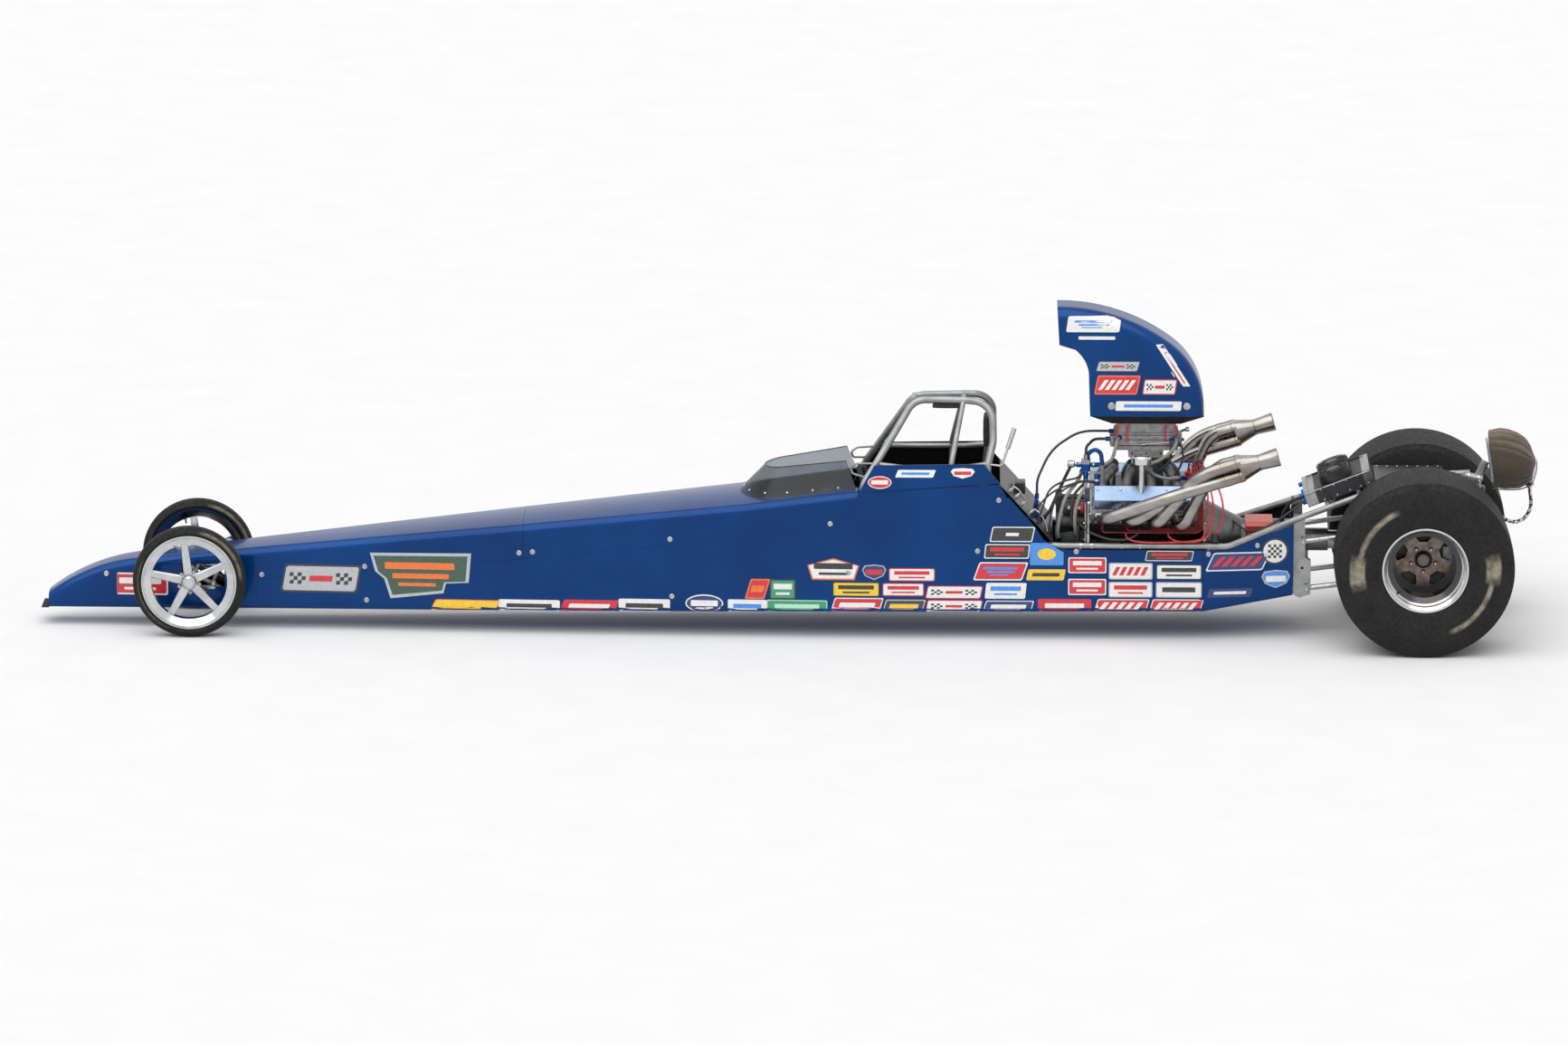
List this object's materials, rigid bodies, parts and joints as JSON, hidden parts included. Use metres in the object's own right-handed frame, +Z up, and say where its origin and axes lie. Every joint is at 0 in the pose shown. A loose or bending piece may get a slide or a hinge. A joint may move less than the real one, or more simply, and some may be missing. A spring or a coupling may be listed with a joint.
{
  "type": "drag racing car",
  "caption": "Long rear engine dragster with a tapered body, open roll cage, tall air scoop, swept exhausts, wide rear slicks and narrow steered front wheels.",
  "frame": {"origin": "on the ground at the middle of the car's length and width", "axes": "+X to the rear of the car, +Y to the car's right, +Z up"},
  "size_m": [7.216, 1.28, 1.5969],
  "materials": {
    "blue_body": "deep glossy blue",
    "frame_grey": "light satin grey",
    "black_paint": "satin black",
    "alloy": "polished",
    "cast_alloy": "as cast",
    "cast_block": "painted casting",
    "steel": "machined",
    "exhaust": "brushed, heat tinted",
    "tyre": "tread rubber",
    "screen": "smoke tinted sheet",
    "canvas": "woven canvas",
    "webbing": "flecked braid",
    "pad": "foam pad",
    "red_cover": "coral red",
    "blue_anodised": "blue anodised",
    "hose": "smooth hose",
    "red_lead": "red silicone lead"
  },
  "bodies": {
    "chassis": {"nose_cowl": "blue_body", "rear_cowl": "blue_body", "windscreen": "screen", "side_panels": "blue_body", "cockpit_panels": "blue_body", "engine_panels": "blue_body", "rear_panels": "blue_body", "belly_pan": "blue_body", "side_frames": "frame_grey", "cross_tubes": "frame_grey", "roll_cage": "frame_grey", "head_pads": "pad", "screen_stays": "frame_grey", "firewall": "black_paint", "seat": "alloy", "front_axle": "frame_grey", "axle_housing": "black_paint", "brake_calipers": "cast_alloy", "link_plates": "frame_grey", "link_bars": "steel", "engine_block": "cast_block", "oil_pan": "steel", "cylinder_heads": "cast_alloy", "valve_covers": "alloy", "intake_manifold": "cast_alloy", "carburettor": "cast_alloy", "scoop_tray": "black_paint", "air_scoop": "blue_body", "motor_plates": "alloy", "front_drive": "cast_alloy", "transmission": "cast_alloy", "transmission_cover": "red_cover", "driveshaft": "steel", "cooler": "alloy", "cooler_fans": "black_paint", "axle_cover": "black_paint", "chute_mount": "steel", "distributor": "red_lead", "plug_leads": "red_lead", "breather": "alloy", "hoses": "hose", "hose_fittings": "blue_anodised", "vent_rod": "steel", "chute_bag": "canvas", "chute_tether": "webbing", "dash": "black_paint", "headers_left": "exhaust", "headers_right": "exhaust"},
    "rear_axle": {"rear_wheels": "alloy", "rear_tyres": "tyre", "axle_shaft": "steel"},
    "front_left_wheel": {"front_wheel_left": "alloy", "front_tyre_left": "tyre"},
    "front_right_wheel": {"front_wheel_right": "alloy", "front_tyre_right": "tyre"},
    "left_knuckle": {"knuckle_left": "steel"},
    "right_knuckle": {"knuckle_right": "steel"},
    "tie_rod": {"tie_rod": "steel"},
    "steering": {"steering_wheel": "black_paint"}
  },
  "joints": [
    {"name": "left_steer", "type": "hinge", "parent": "chassis", "child": "left_knuckle", "pos_m": [-2.873, -0.222, 0.2725], "axis": [0, 0, 1], "range_deg": [-10, 10]},
    {"name": "right_steer", "type": "hinge", "parent": "chassis", "child": "right_knuckle", "pos_m": [-2.873, 0.222, 0.2725], "axis": [0, 0, 1], "range_deg": [-10, 10]},
    {"name": "tie_rod_slide", "type": "slide", "parent": "chassis", "child": "tie_rod", "axis": [0, 1, 0], "range_m": [-0.0195, 0.0195]},
    {"name": "steering_turn", "type": "hinge", "parent": "chassis", "child": "steering", "pos_m": [0.4, 0, 0.668], "axis": [0.9063, 0, 0.4226], "range_deg": [-92, 92]},
    {"name": "front_left_spin", "type": "hinge", "parent": "left_knuckle", "child": "front_left_wheel", "pos_m": [-2.873, -0.3, 0.2725], "axis": [0, 1, 0], "continuous": true},
    {"name": "front_right_spin", "type": "hinge", "parent": "right_knuckle", "child": "front_right_wheel", "pos_m": [-2.873, 0.3, 0.2725], "axis": [0, 1, 0], "continuous": true},
    {"name": "rear_axle_spin", "type": "hinge", "parent": "chassis", "child": "rear_axle", "pos_m": [3.057, 0, 0.43], "axis": [0, 1, 0], "continuous": true}
  ],
  "couplings": [
    {"joint": "right_steer", "follows": "left_steer", "ratio": 1},
    {"joint": "tie_rod_slide", "follows": "left_steer", "m_per_rad": 0.10944},
    {"joint": "steering_turn", "follows": "left_steer", "ratio": 9}
  ]
}
